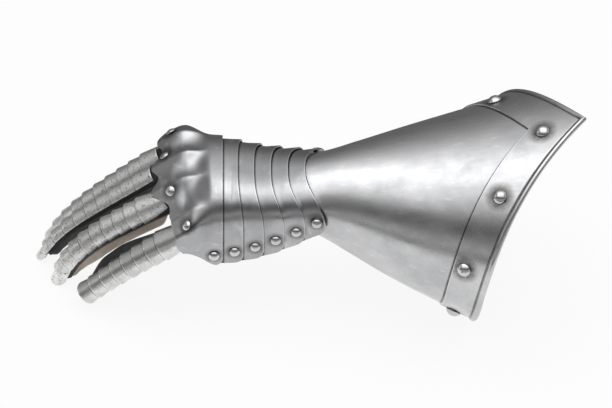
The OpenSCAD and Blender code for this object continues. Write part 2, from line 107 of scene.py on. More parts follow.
# Knuckle plate, with values for the index, middle, ring and little finger in that order
BOSS_HEIGHT = 5.5
KNUCKLE_X = (-99, -97, -97, -90)
KNUCKLE_TOP = (29.5, 29.5, 24.2, 17.5)
RIDGE_BACK = (0.34, 0.28, 0.24, 0.3)
RIDGE_FRONT = (0.82, 0.8, 0.76, 0.8)
RIDGE_BEND = 5
PLATE_HALF_WIDTH = 49
PLATE_REAR = -69.5
PLATE_WRAP = 15
PLATE_WALL_SHARE = 0.07
PLATE_SINK = 0.36
SINK_START = 5
LITTLE_SIDE = 36
FACE_FILL = 0.62
LOBE_X = (-117.5, -122, -122.5, -107.5)
NOTCH_DEPTH = 5.5
KNUCKLE_RIVET_X = (-107, -111.4, -107.5, -95.6)
KNUCKLE_RIVET_SHIFT = (5, 7, -4, -9)

FINGERS = ("index", "middle", "ring", "little", "thumb")
INDEX, MIDDLE, RING, LITTLE, THUMB = range(5)
SCALES = (10, 10, 10, 8, 3)
ROOTS = ((-112, 34, 1.5), (-117, 12, 4), (-116, -10, -2), (-101.5, -35, -12), (0, 0, 0))
PITCHES = (11.33, 11.55, 10.6, 10.75, 15)
# Slope of the first and last scale, and how late the bend between them comes
SLOPES = ((40.2, 62.3, 3), (38.9, 69.4, 4), (35, 76, 2.6), (36, 45, 1), (0, 24, 1))
# Radius of the first and last scale at its free edge
RADII = ((11.5, 9.3), (11.2, 8.8), (11.5, 8.6), (12, 7.8), (13.5, 11))
# Half of a scale's arc, and how far the arc leans to the little-finger side
ARCS = (58, 58, 86, 82, 72)
LEANS = (0, 0, 14, 40, 0)
THUMB_ROOT = Vector((-67, 53, -26))
THUMB_TURN = (-50, -38, -23)
SCALE_PLATE = 1
SCALE_GAP = 0.35
SCALE_OVERLAP = 3.6
STRIP_GAP = 0.3


def mix(a, b, t):
    return a + (b - a) * t


def clamp(v, low, high):
    return min(max(v, low), high)


def smooth(v, low, high):
    t = clamp((v - low) / (high - low), 0, 1)
    return t * t * (3 - 2 * t)


def ease(x, w):
    """Zero well before x = 0 and x well after it, with a bend about w wide between."""
    return (math.sqrt(x * x + w * w) + x) / 2


def signed_power(v, p):
    return math.copysign(abs(v) ** p, v)


def sin(degrees):
    return math.sin(math.radians(degrees))


def cos(degrees):
    return math.cos(math.radians(degrees))


def at_rest(p):
    """A point of the gauntlet's own frame as it lies on the table, in metres."""
    c, s = math.cos(PITCH_DOWN), math.sin(PITCH_DOWN)
    x = p[0] * c + p[2] * s + REST_SHIFT[0]
    z = -p[0] * s + p[2] * c + REST_SHIFT[2]
    return Vector((x / 1000, (p[1] + REST_SHIFT[1]) / 1000, z / 1000))


def turn_at_rest(v):
    return (at_rest(v) - at_rest((0, 0, 0))).normalized()


# Forms of the plates

def cuff_half_width(x):
    swell = CUFF_SWELL * sin(180 * clamp(x / CUFF_SWELL_LENGTH, 0, 1)) ** 2
    return CUFF_WRIST_WIDTH + CUFF_SIDE_FLARE * ease(x, CUFF_SIDE_BEND) + swell


def cuff_top(x):
    run = x - CUFF_TOP_X
    return CUFF_WRIST_TOP + CUFF_TOP_SLOPE * run + CUFF_TOP_CURVE * run ** 2


def cuff_bottom(x):
    share = (ease(x, 12) / CUFF_DEPTH_LENGTH) ** 0.7
    return -(CUFF_WRIST_DEPTH + (CUFF_MOUTH_DEPTH - CUFF_WRIST_DEPTH) * share)


def cuff_point(x, angle):
    middle = (cuff_top(x) + cuff_bottom(x)) / 2
    b = cuff_top(x) - middle
    p = 2 / mix(2, CUFF_SQUARENESS, smooth(-cos(angle), 0, 0.3))
    return Vector((
        x,
        -cuff_half_width(x) * signed_power(sin(angle), p),
        middle + b * signed_power(cos(angle), p),
    ))


def cuff_normal(x, angle):
    across = cuff_point(x, angle + 1) - cuff_point(x, angle - 1)
    along = cuff_point(x + 1, angle) - cuff_point(x - 1, angle)
    return across.cross(along).normalized()


def turned(angle):
    """How far an angle lies from the back of the hand, on either side."""
    angle = angle % 360
    return min(angle, 360 - angle)


def mouth_x(angle):
    return CUFF_LENGTH + CUFF_POINT * math.exp(-turned(angle) / CUFF_POINT_SPREAD)


def border_x(angle):
    extra = BORDER_POINT_EXTRA * math.exp(-turned(angle) / BORDER_POINT_SPREAD)
    return mouth_x(angle) - BORDER_WIDTH - extra


def pivot_x(k):
    return LAST_PIVOT_X - PIVOT_PITCH * (LAMES + 1 - k)


def pivot_z(k):
    u = -pivot_x(k)
    return 5 - 0.66 * u + 0.0041 * u * u


def hand_half_width(x):
    return HAND_WRIST_WIDTH - HAND_TAPER * x + 0.35 * ease(x, 6)


def hand_height(x):
    return HAND_WRIST_HEIGHT + HAND_RISE * (x - HAND_LOWEST_X) ** 2


def hand_squareness(x, side=1):
    """Exponent of the hand's arch, which is squarer on the little-finger side, where side < 0."""
    if side < 0:
        return 2.05 + 1.1 * clamp((2 - x) / 45, 0, 1) ** 0.6
    return 2 + 0.55 * clamp(-x / 69, 0, 1)


def side_drop(x, side):
    """How much lower the arch springs from the wall on the little-finger side."""
    return SIDE_DROP * smooth(-x, 2, 42) if side < 0 else 0


def hand_middle(x):
    return 1.5 * smooth(-x, 40, 69)


def hand_low(x):
    u = max(-x, -6)
    return -8.7 - 0.66 * u + 0.0047 * u * u


def lean_at(x, y):
    return HAND_LEAN * smooth(-x, 62, 74) * ease(-y, 8)


def hand_point(x, angle, wall, out, low):
    """A point of the hand's arch at an angle from its back, or down its side wall."""
    p = 2 / hand_squareness(x, -angle)
    a = hand_half_width(x) + out
    b = hand_height(x) + out + side_drop(x, -angle)
    c = hand_middle(x) - side_drop(x, -angle)
    if wall > 0:
        y = -a * math.copysign(1, angle)
        return Vector((x, y, mix(c - lean_at(x, y), low, wall)))
    y = -a * signed_power(sin(angle), p)
    return Vector((x, y, c - lean_at(x, y) + b * signed_power(cos(angle), p)))


def edge_lead(k):
    return 15 * ((k - 1) / LAMES) ** 0.8


def rear_edge(k, angle):
    return pivot_x(k) + EAR - edge_lead(k) * cos(angle) ** 2


def front_edge(k, angle):
    return mix(pivot_x(k) - EAR, rear_edge(k, 0) - LAME_OVERLAP, cos(angle) ** 2)


LAME_LENGTH = PIVOT_PITCH + 2 * EAR - 2
LAME_RISE = (PLATE + SLIDE_GAP) * LAME_LENGTH / (LAME_LENGTH - LAME_OVERLAP)


def tucked(surface, x, x1, angle, k):
    """Keeps a plate inside the path that the edge over pivot k sweeps across it.

    surface(x) is the plate's form without that, to which it comes back at x1.
    """
    p = surface(x)
    if turned(angle) >= 90:
        return p
    near = angle if angle <= 180 else angle - 360
    edge = hand_point(rear_edge(k, angle), near, 0, LAME_RISE - PLATE, 0)
    height = edge.z - pivot_z(k)
    reach = math.hypot(edge.x - pivot_x(k), height) - CLOSE_GAP
    end = edge.x + SLIDE_SHARE * height
    at = min(x, end)
    run = at - pivot_x(k)
    drop = surface(at).z - pivot_z(k) - math.sqrt(max(reach * reach - run * run, 0))
    soft_drop = (drop + math.sqrt(drop * drop + 0.3)) / 2 * smooth(drop, -1.5, -0.3)
    back = clamp((x1 - x) / (x1 - end), 0, 1)
    return p - Vector((0, 0, soft_drop * back * smooth(height, 6, 14)))


def across_hand(u):
    """Angle and share of the wall for a place u, from 0 to 1, across a lame."""
    if u < WALL_SHARE:
        return -90, 1 - u / WALL_SHARE
    if u > 1 - WALL_SHARE:
        return 90, (u - 1 + WALL_SHARE) / WALL_SHARE
    return 180 * (u - WALL_SHARE) / (1 - 2 * WALL_SHARE) - 90, 0


def under_knuckles(p):
    """Lowers the first lame's hidden front, where the knuckle plate turns down over it."""
    even = 0.12 * max(-65 - p.x, 0) + 0.2 * max(-72 - p.x, 0)
    sunk = 0.22 * max(-71 - p.x, 0) * smooth(-p.y, 0, LITTLE_SIDE)
    return Vector((0, 0, (even + sunk) * smooth(p.z, 0, 12)))


def lame_point(k, u, t):
    angle, wall = across_hand(u)
    x0, x1 = front_edge(k, angle), rear_edge(k + 1, angle)
    x = mix(x0, x1, t)
    cut = clamp(max(x - x1 + CORNER, x0 + CORNER - x), 0, CORNER)
    low = min(hand_low(x) + CORNER - math.sqrt(CORNER * CORNER - cut * cut), -2)

    def surface(at):
        return hand_point(at, angle, wall, LAME_RISE * (at - x0) / (x1 - x0), low)

    p = tucked(surface, x, x1, angle, k)
    return p - under_knuckles(p) if k == 1 else p


def between_fingers(values, y):
    places = [ROOTS[f][1] for f in (LITTLE, RING, MIDDLE, INDEX)]
    heights = [values[f] for f in (LITTLE, RING, MIDDLE, INDEX)]
    if y <= places[0]:
        return heights[0]
    for i in range(3):
        if y <= places[i + 1]:
            return mix(heights[i], heights[i + 1], (y - places[i]) / (places[i + 1] - places[i]))
    return heights[3]


def crest(f, x):
    d = x - KNUCKLE_X[f]
    bent = math.hypot(d, RIDGE_BEND) - RIDGE_BEND
    fall = (RIDGE_FRONT[f] + RIDGE_BACK[f]) / 2 * bent
    return KNUCKLE_TOP[f] - fall - (RIDGE_BACK[f] - RIDGE_FRONT[f]) / 2 * d


def crests(x, y):
    return between_fingers([crest(f, x) for f in range(4)], y)


def to_front(x):
    return smooth(-x, 77, 98)


def plate_width(x):
    return mix(hand_half_width(x) + LAME_RISE, PLATE_HALF_WIDTH, smooth(-x, 82, 97))


def plate_spring(x, y):
    rear = hand_middle(PLATE_REAR) - side_drop(PLATE_REAR, y) - lean_at(PLATE_REAR, y)
    return mix(rear, crests(x, y) - PLATE_WRAP, to_front(x))


def plate_arch(x, y):
    n = mix(hand_squareness(PLATE_REAR, y), 4.5, to_front(x))
    rear_top = hand_middle(PLATE_REAR) - lean_at(PLATE_REAR, y) + hand_height(PLATE_REAR)
    sunk = max(PLATE_REAR - SINK_START - x, 0) * smooth(-y, 0, LITTLE_SIDE)
    rear_top += LAME_RISE - PLATE_SINK * sunk
    top = mix(rear_top, crests(x, y) - BOSS_HEIGHT, to_front(x))
    w = clamp(1 - (abs(y) / plate_width(x)) ** n, 0, 1)
    return mix(plate_spring(x, y), top, w ** (1 / n))


def boss(f, x, y):
    share = smooth(-x, 79, 97)
    width = mix(4.5, 8.5, share)
    sharpness = mix(1.2, 1.6, to_front(x + 12))
    away = math.hypot((y - ROOTS[f][1]) / width, 0.08) - 0.08
    return BOSS_HEIGHT * share * math.exp(-(away ** sharpness))


def plate_top(x, y):
    """The arch with its bosses, whose valleys fill up on the face before the knuckles."""
    bosses = sum(boss(f, x, y) for f in range(4))
    face = FACE_FILL * smooth(between_fingers(KNUCKLE_X, y) - x, 1, 12)
    inside = smooth(ROOTS[INDEX][1] - y, -6, 6) * smooth(y - ROOTS[LITTLE][1], -6, 6)
    return plate_arch(x, y) + bosses + max(BOSS_HEIGHT - bosses, 0) * face * inside


def lobe_between(f, y):
    ya, yb = ROOTS[f][1], ROOTS[f + 1][1]
    t = clamp((y - ya) / (yb - ya), 0, 1)
    return mix(LOBE_X[f], LOBE_X[f + 1], t) + NOTCH_DEPTH * sin(180 * t) ** 2


def plate_front(y):
    if y > ROOTS[INDEX][1]:
        return LOBE_X[INDEX] + 8 * ((y - ROOTS[INDEX][1]) / 14) ** 2
    for f in (INDEX, MIDDLE, RING):
        if y > ROOTS[f + 1][1]:
            return lobe_between(f, y)
    return LOBE_X[LITTLE] + 3 * ((ROOTS[LITTLE][1] - y) / 12.5) ** 2


def plate_low(x):
    return mix(-32, -15, smooth(-x, 73, 97))


def knuckle_point(u, t):
    share = PLATE_WALL_SHARE
    if u < share:
        angle, wall = 90, 1 - u / share
    elif u > 1 - share:
        angle, wall = -90, (u - 1 + share) / share
    else:
        angle, wall = 90 - 180 * (u - share) / (1 - 2 * share), 0
    front = plate_front(PLATE_HALF_WIDTH * sin(angle)) + 5 * wall * wall
    x = mix(front, PLATE_REAR, t)
    y = plate_width(x) * sin(angle)
    cut = clamp(x - PLATE_REAR + CORNER, 0, CORNER)
    low = plate_low(x) + CORNER - math.sqrt(CORNER * CORNER - cut * cut)
    return Vector((x, y, mix(plate_top(x, y), low, wall)))


# Forms of the fingers

def slope(f, k):
    first, last, late = SLOPES[f]
    return mix(first, last, (max(k, 0) / (SCALES[f] - 1)) ** late)


def pivot(f, k):
    p = Vector(ROOTS[f])
    for i in range(k):
        p += PITCHES[f] * Vector((-cos(slope(f, i)), 0, -sin(slope(f, i))))
    return p


def free_radius(f, k):
    return mix(RADII[f][0], RADII[f][1], k / (SCALES[f] - 1))


def seat_radius(f, k):
    """Radius of the leather under scale k."""
    k = clamp(k, 0, SCALES[f] - 1)
    taper = (SCALE_PLATE + SCALE_GAP) * (PITCHES[f] + SCALE_OVERLAP) / PITCHES[f]
    return free_radius(f, k) - taper - SCALE_PLATE - STRIP_GAP


def thumb_turned(p):
    turn = [math.radians(a) for a in THUMB_TURN]
    m = Matrix.Rotation(turn[2], 3, "Z") @ Matrix.Rotation(turn[1], 3, "Y") @ Matrix.Rotation(
        turn[0], 3, "X")
    return m @ p + THUMB_ROOT


def finger_place(f, q):
    """Point on the finger's axis at q scales from its root, and the slope there."""
    last = SCALES[f] - 1
    whole = int(clamp(math.floor(q), 0, last))
    part = q - whole
    direction = Vector((-cos(slope(f, whole)), 0, -sin(slope(f, whole))))
    p = pivot(f, whole) + part * PITCHES[f] * direction
    before = int(clamp(math.floor(q - 0.5), 0, last))
    after = min(before + 1, last)
    return p, mix(slope(f, before), slope(f, after), clamp(q - 0.5 - before, 0, 1))


def finger_point(f, q, angle, radius, hang=0.0):
    """A point round the finger; the angle is 0 on its back and 90 on the little-finger side."""
    p, a = finger_place(f, q)
    out = Vector((-sin(a), 0, cos(a)))
    p = p + Vector((0, -radius * sin(angle), 0)) + (radius * cos(angle) - hang) * out
    return thumb_turned(p) if f == THUMB else p


# Modelling

def mesh_of(name, obj, body, slot_name, material):
    obj.name = name
    obj.data.name = name
    obj.data.materials.clear()
    obj.data.materials.append(material)
    if body:
        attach(obj, body)
    return obj


def apply_modifiers(obj):
    bpy.context.view_layer.objects.active = obj
    for modifier in list(obj.modifiers):
        bpy.ops.object.modifier_apply(modifier=modifier.name)


def smooth_by_angle(obj, degrees=40):
    bpy.ops.object.select_all(action="DESELECT")
    obj.select_set(True)
    bpy.context.view_layer.objects.active = obj
    bpy.ops.object.shade_smooth_by_angle(angle=math.radians(degrees))
    bpy.ops.object.select_all(action="DESELECT")


def face_outwards(obj):
    """Merges the doubles and turns all faces the same way."""
    bpy.context.view_layer.objects.active = obj
    bpy.ops.object.mode_set(mode="EDIT")
    bpy.ops.mesh.select_all(action="SELECT")
    bpy.ops.mesh.remove_doubles(threshold=1e-6)
    bpy.ops.mesh.normals_make_consistent(inside=False)
    bpy.ops.object.mode_set(mode="OBJECT")


def formed_sheet(name, across, along, shape, thickness, outward, edge=0.00035):
    """A flat grid bent to its form, given a wall on its inner side and softened edges.

    shape(u, t) gives the outer face in the gauntlet's own frame, and outward is a point of
    that face's parameter with a direction that its normal has to agree with.
    """
    bpy.ops.object.select_all(action="DESELECT")
    bpy.ops.mesh.primitive_grid_add(x_subdivisions=across, y_subdivisions=along, size=1)
    obj = bpy.context.object
    for vertex in obj.data.vertices:
        vertex.co = at_rest(shape(vertex.co.x + 0.5, vertex.co.y + 0.5))
    face_outwards(obj)
    near = at_rest(shape(*outward[0]))
    face = min(obj.data.polygons, key=lambda p: (p.center - near).length)
    if face.normal.dot(turn_at_rest(outward[1])) < 0:
        obj.data.flip_normals()
    wall = obj.modifiers.new("wall", "SOLIDIFY")
    wall.thickness = thickness / 1000
    wall.offset = -1
    if edge:
        softened = obj.modifiers.new("softened edge", "BEVEL")
        softened.width = edge
        softened.segments = 2
        softened.limit_method = "ANGLE"
        softened.angle_limit = math.radians(50)
    apply_modifiers(obj)
    smooth_by_angle(obj)
    obj.name = name
    return obj


def cut_holes(obj, places, diameter):
    """Punches round holes through a plate at (point, direction) places, in metres."""
    cutters = []
    for point, direction in places:
        bpy.ops.object.select_all(action="DESELECT")
        turn = Vector((0, 0, 1)).rotation_difference(direction)
        bpy.ops.mesh.primitive_cylinder_add(
            vertices=24, radius=diameter / 2000, depth=0.012, location=point,
            rotation=turn.to_euler())
        cutters.append(bpy.context.object)
    bpy.ops.object.select_all(action="DESELECT")
    for cutter in cutters:
        cutter.select_set(True)
    bpy.context.view_layer.objects.active = cutters[0]
    if len(cutters) > 1:
        bpy.ops.object.join()
    cutter = bpy.context.object
    punch = obj.modifiers.new("rivet holes", "BOOLEAN")
    punch.operation = "DIFFERENCE"
    punch.solver = "EXACT"
    punch.object = cutter
    apply_modifiers(obj)
    bpy.data.objects.remove(cutter)
    smooth_by_angle(obj)


def pivot_places(k):
    """The two holes of pivot k, one in each side wall, as (point, direction)."""
    y = hand_half_width(pivot_x(k)) + 1
    return [(at_rest((pivot_x(k), side * y, pivot_z(k))), Vector((0, 1, 0))) for side in (-1, 1)]


def border_rivet_places():
    places = []
    for angle, share in BORDER_RIVETS:
        x = mix(border_x(angle), mouth_x(angle) - ROLL_RADIUS, share)
        places.append((at_rest(cuff_point(x, angle)), turn_at_rest(cuff_normal(x, angle))))
    return places


def knuckle_rivet_places():
    places = []
    for f in range(4):
        x, y = KNUCKLE_RIVET_X[f], ROOTS[f][1] + KNUCKLE_RIVET_SHIFT[f]
        rise_x = plate_top(x + 1, y) - plate_top(x, y)
        rise_y = plate_top(x, y + 1) - plate_top(x, y)
        places.append((at_rest((x, y, plate_top(x, y))),
                       turn_at_rest(Vector((-rise_x, -rise_y, 1)))))
    return places


# Distances that the steel's painted seam shadows and edge highlights follow, in millimetres, kept
# on the points of a plate

def own_frame(co):
    """A point in metres on the table, back in the gauntlet's own frame."""
    c, s = math.cos(PITCH_DOWN), math.sin(PITCH_DOWN)
    x = co[0] * 1000 - REST_SHIFT[0]
    z = co[2] * 1000 - REST_SHIFT[2]
    return Vector((x * c - z * s, co[1] * 1000, x * s + z * c))


def hand_angle(p):
    half = hand_half_width(p.x) + LAME_RISE
    across = clamp(-p.y / half, -1, 1)
    return math.degrees(math.asin(signed_power(across, hand_squareness(p.x, p.y) / 2)))


def cuff_angle(p):
    middle = (cuff_top(p.x) + cuff_bottom(p.x)) / 2
    across = -p.y / cuff_half_width(p.x)
    return math.degrees(math.atan2(across, (p.z - middle) / (cuff_top(p.x) - middle)))


FAR = 9  # further from an edge than any finish reaches


def note_distances(obj, seam, lip):
    """Seam is the distance past the edge that covers a plate, lip the one to its free edge."""
    for name, measure in (("seam", seam), ("lip", lip)):
        values = obj.data.attributes.new(name, "FLOAT", "POINT")
        for vertex, value in zip(obj.data.vertices, values.data):
            value.value = measure(own_frame(vertex.co))


# Materials

# Colour of the grime and painted shade round the rivet heads
RIVET_GRIME_AND_SHADE = (0.1, 0.095, 0.09)
# Colour of the painted shadow just past the edge of a covering plate
SEAM_SHADOW = (0.05, 0.048, 0.046)


def new_material(name):
    material = bpy.data.materials.new(name)
    material.use_nodes = True
    nodes = material.node_tree.nodes
    shader = next(n for n in nodes if n.type == "BSDF_PRINCIPLED")
    return material, nodes, material.node_tree.links, shader


def node(nodes, kind, **settings):
    made = nodes.new(kind)
    for key, value in settings.items():
        if key in made.inputs:
            made.inputs[key].default_value = value
        else:
            setattr(made, key, value)
    return made


def noise(nodes, links, place, scale, detail=4.0, roughness=0.55, stretch=(1, 1, 1)):
    """Noise in the object's metres, stretched along its axes."""
    mapping = node(nodes, "ShaderNodeMapping")
    mapping.inputs["Scale"].default_value = stretch
    links.new(place, mapping.inputs["Vector"])
    texture = node(nodes, "ShaderNodeTexNoise")
    texture.inputs["Scale"].default_value = scale
    texture.inputs["Detail"].default_value = detail
    texture.inputs["Roughness"].default_value = roughness
    links.new(mapping.outputs["Vector"], texture.inputs["Vector"])
    return texture.outputs["Fac"]


def between(nodes, links, value, low, high, from_low=0.3, from_high=0.7):
    """Maps a noise value to a range."""
    ranged = node(nodes, "ShaderNodeMapRange")
    ranged.inputs["From Min"].default_value = from_low
    ranged.inputs["From Max"].default_value = from_high
    ranged.inputs["To Min"].default_value = low
    ranged.inputs["To Max"].default_value = high
    links.new(value, ranged.inputs["Value"])
    return ranged.outputs["Result"]


def math_node(nodes, links, operation, a, b=None):
    made = node(nodes, "ShaderNodeMath", operation=operation)
    for socket, value in zip(made.inputs, (a, b)):
        if value is None:
            continue
        if isinstance(value, (int, float)):
            socket.default_value = value
        else:
            links.new(value, socket)
    return made.outputs["Value"]


def blend_colours(nodes, links, share, a, b):
    mixer = node(nodes, "ShaderNodeMix", data_type="RGBA")
    sockets = [s for s in mixer.inputs if s.type == "RGBA"]
    for socket, colour in zip(sockets, (a, b)):
        if isinstance(colour, tuple):
            socket.default_value = (*colour, 1)
        else:
            links.new(colour, socket)
    links.new(share, mixer.inputs[0])
    return next(s for s in mixer.outputs if s.type == "RGBA")


def bump(nodes, links, shader, height, strength, distance, under=None):
    made = node(nodes, "ShaderNodeBump")
    made.inputs["Strength"].default_value = strength
    made.inputs["Distance"].default_value = distance
    links.new(height, made.inputs["Height"])
    if under is not None:
        links.new(under, made.inputs["Normal"])
    links.new(made.outputs["Normal"], shader.inputs["Normal"])
    return made.outputs["Normal"]


def rivet_grime_and_shade(nodes, links, place, rivets, radius):
    """One close to a rivet's head and zero away from it: the share of grime and painted shade
    there.
    """
    nearest = None
    for point in rivets:
        apart = node(nodes, "ShaderNodeVectorMath", operation="DISTANCE")
        links.new(place, apart.inputs[0])
        apart.inputs[1].default_value = point
        value = apart.outputs["Value"]
        nearest = value if nearest is None else math_node(nodes, links, "MINIMUM", nearest, value)
    return between(nodes, links, nearest, 1, 0, radius, radius * 1.9)


def band(nodes, links, name, low, high, soft):
    """One where the distance of that name lies between low and high, fading over soft."""
    distance = node(nodes, "ShaderNodeAttribute", attribute_name=name).outputs["Fac"]
    rise = between(nodes, links, distance, 0, 1, low - soft, low)
    fall = between(nodes, links, distance, 1, 0, high, high + soft)
    return math_node(nodes, links, "MULTIPLY", rise, fall)


def worked_steel(name, colour, dark, roughness, streaks, rivets=(), grime_and_shade_radius=0.005,
                 streak_depth=0.06, seams=False):
    """Satin steel: cloudy polish, fine strokes and scratches, grime with painted shade round
    rivets, a painted shadow in seams and a painted highlight on free edges.
    """
    material, nodes, links, shader = new_material(name)
    place = node(nodes, "ShaderNodeTexCoord").outputs["Object"]
    cloud = noise(nodes, links, place, 38, 5, 0.6)
    fine = noise(nodes, links, place, 260, 6, 0.65)
    stroke = noise(nodes, links, place, 90, 5, 0.6, streaks)
    tone = blend_colours(nodes, links, between(nodes, links, cloud, 0.0, 0.75), colour, dark)
    tone = blend_colours(
        nodes, links, between(nodes, links, stroke, 0.0, 0.4, 0.5, 0.8), tone, dark)
    scratch = noise(nodes, links, place, 210, 3, 0.5, (streaks[0] * 0.3, streaks[1], streaks[2]))
    scratch = between(nodes, links, scratch, 0, 0.5, 0.6, 0.72)
    tone = blend_colours(nodes, links, scratch, tone, (0.72, 0.72, 0.73))
    if rivets:
        # Grime with painted shade, darkening the steel round each rivet head
        grime_and_shade = rivet_grime_and_shade(nodes, links, place, rivets, grime_and_shade_radius)
        grime_and_shade = math_node(nodes, links, "MULTIPLY", grime_and_shade, between(nodes, links, fine, 0.55, 1.0))
        tone = blend_colours(nodes, links, grime_and_shade, tone, RIVET_GRIME_AND_SHADE)
    if seams:
        # Painted shadow just past the edge that covers the plate
        seam_shadow = math_node(nodes, links, "MULTIPLY", band(nodes, links, "seam", -3, 0.75, 0.9),
                         between(nodes, links, fine, 0.7, 0.95))
        tone = blend_colours(nodes, links, seam_shadow, tone, SEAM_SHADOW)
        # Painted highlight along the plate's free edge
        worn = band(nodes, links, "lip", -1, 0.3, 0.5)
        worn = math_node(nodes, links, "MULTIPLY", worn, between(nodes, links, cloud, 0.2, 0.8))
        tone = blend_colours(nodes, links, worn, tone, (0.75, 0.75, 0.75))
    links.new(tone, shader.inputs["Base Color"])
    shader.inputs["Metallic"].default_value = 1
    polish = between(nodes, links, cloud, roughness - 0.05, roughness + 0.08)
    rubbed = math_node(nodes, links, "ADD", polish, between(nodes, links, stroke, -0.03, 0.05))
    links.new(rubbed, shader.inputs["Roughness"])
    dents = noise(nodes, links, place, 24, 2, 0.4)
    under = bump(nodes, links, shader, dents, 0.4, 0.0014)
    under = bump(nodes, links, shader, stroke, streak_depth, 0.0006, under)
    bump(nodes, links, shader, fine, 0.08, 0.0004, under)
    return material


def pitted_steel(name, colour, dark, roughness, pits):
    """Lighter steel of the finger scales: fine pits, strokes, a painted shadow along the seams and
    a painted highlight on the free edges.
    """
    material, nodes, links, shader = new_material(name)
    place = node(nodes, "ShaderNodeTexCoord").outputs["Object"]
    cloud = noise(nodes, links, place, 140, 5, 0.65)
    speck = noise(nodes, links, place, 620, 3, 0.7)
    stroke = noise(nodes, links, place, 160, 5, 0.6, (0.35, 2.2, 1))
    tone = blend_colours(nodes, links, between(nodes, links, cloud, 0.0, 0.7), colour, dark)
    pit = between(nodes, links, speck, 0, pits, 0.56, 0.68)
    tone = blend_colours(nodes, links, pit, tone, (0.16, 0.155, 0.15))
    shader.inputs["Metallic"].default_value = 1
    # Painted shadow just past the edge of the scale that covers this one
    seam_shadow = math_node(nodes, links, "MULTIPLY", band(nodes, links, "seam", -3, 0.6, 0.8),
                     between(nodes, links, cloud, 0.7, 1.0))
    tone = blend_colours(nodes, links, seam_shadow, tone, (0.04, 0.038, 0.036))
    # Painted highlight along the scale's free edge
    edge = math_node(nodes, links, "MULTIPLY", band(nodes, links, "lip", -1, 0.5, 0.6),
                     between(nodes, links, cloud, 0.2, 0.8))
    tone = blend_colours(nodes, links, edge, tone, (0.85, 0.85, 0.84))
    links.new(tone, shader.inputs["Base Color"])
    worn = between(nodes, links, cloud, roughness - 0.06, roughness + 0.1)
    links.new(math_node(nodes, links, "ADD", worn, math_node(nodes, links, "MULTIPLY", pit, 0.2)),
              shader.inputs["Roughness"])
    under = bump(nodes, links, shader, stroke, 0.12, 0.0006)
    bump(nodes, links, shader, speck, 0.35 * pits, 0.0005, under)
    return material


def leather(name, colour, dark, worn, roughness, grain, crease):
    """Leather with grain, soft creases across the finger and rubbed high places."""
    material, nodes, links, shader = new_material(name)
    place = node(nodes, "ShaderNodeTexCoord").outputs["Object"]
    patch = noise(nodes, links, place, 60, 5, 0.6)
    cells = node(nodes, "ShaderNodeTexVoronoi", feature="DISTANCE_TO_EDGE")
    cells.inputs["Scale"].default_value = grain
    links.new(place, cells.inputs["Vector"])
    folds = noise(nodes, links, place, 75, 3, 0.5, (2.4, 0.7, 1))
    tone = blend_colours(nodes, links, between(nodes, links, patch, 0, 1), colour, dark)
    tone = blend_colours(
        nodes, links, between(nodes, links, folds, 0, 0.6, 0.55, 0.75), tone, worn)
    links.new(tone, shader.inputs["Base Color"])
    links.new(between(nodes, links, patch, roughness - 0.08, roughness + 0.1),
              shader.inputs["Roughness"])
    shader.inputs["Specular IOR Level"].default_value = 0.4
    under = bump(nodes, links, shader, folds, crease, 0.0014)
    grain_height = between(nodes, links, cells.outputs["Distance"], 0, 1, 0.0, 0.12)
    bump(nodes, links, shader, grain_height, 0.3, 0.0002, under)
    return material


# One steel in two tones: painted light on the cuff, and painted shade on the lames and knuckle
# plate
STEEL = ((0.65, 0.652, 0.66), (0.47, 0.472, 0.48))
SHADED_HAND_STEEL = ((0.47, 0.472, 0.48), (0.33, 0.332, 0.34))
border_points = [tuple(p) for p, _ in border_rivet_places()]
knuckle_points = [tuple(p) for p, _ in knuckle_rivet_places()]
pivot_points = {k: [tuple(p) for p, _ in pivot_places(k)] for k in range(1, LAMES + 2)}

# How far the grime and painted shade reach round the pivot rivets
PIVOT_GRIME_AND_SHADE = 0.0045
cuff_steel = worked_steel("cuff steel", *STEEL, 0.27, (0.12, 1.5, 1.5),
                          pivot_points[LAMES + 1], PIVOT_GRIME_AND_SHADE, seams=True)
border_steel = worked_steel("border steel", *STEEL, 0.25, (0.7, 0.7, 0.7),
                            border_points, 0.0065, seams=True)
knuckle_steel = worked_steel("knuckle plate steel", *SHADED_HAND_STEEL, 0.26, (1.2, 0.4, 1),
                             knuckle_points + pivot_points[1], 0.0044, seams=True)
lame_steels = [
    worked_steel(f"lame {k} steel", *SHADED_HAND_STEEL, 0.26, (1.6, 0.25, 0.25),
                 pivot_points[k] + pivot_points[k + 1], PIVOT_GRIME_AND_SHADE, seams=True)
    for k in range(1, LAMES + 1)
]
scale_steel = pitted_steel(
    "pitted scale steel", (0.92, 0.915, 0.905), (0.5, 0.495, 0.49), 0.34, 1.0)
smooth_scale_steel = pitted_steel(
    "smooth scale steel", (0.84, 0.835, 0.83), (0.5, 0.495, 0.49), 0.27, 0.35)
rivet_steel = worked_steel("rivet steel", (0.68, 0.68, 0.68), (0.5, 0.5, 0.5), 0.2, (1, 1, 1),
                           streak_depth=0.02)
black_leather = leather("black leather", (0.018, 0.017, 0.017), (0.01, 0.01, 0.01),
                        (0.05, 0.048, 0.046), 0.5, 900, 0.35)
tan_leather = leather("tan leather", (0.84, 0.73, 0.62), (0.6, 0.5, 0.41),
                      (0.93, 0.86, 0.78), 0.62, 1100, 0.5)


# Cuff, border and lames

def cuff_shape(u, t):
    angle = 360 * u - 180
    x0 = mix(pivot_x(LAMES + 1) - EAR - 1, -17, max(cos(angle), 0) ** 2)
    x = mix(x0, mouth_x(angle) - ROLL_RADIUS - 0.6, t ** 1.25)
    return tucked(lambda at: cuff_point(at, angle), x, 25, angle, LAMES + 1)


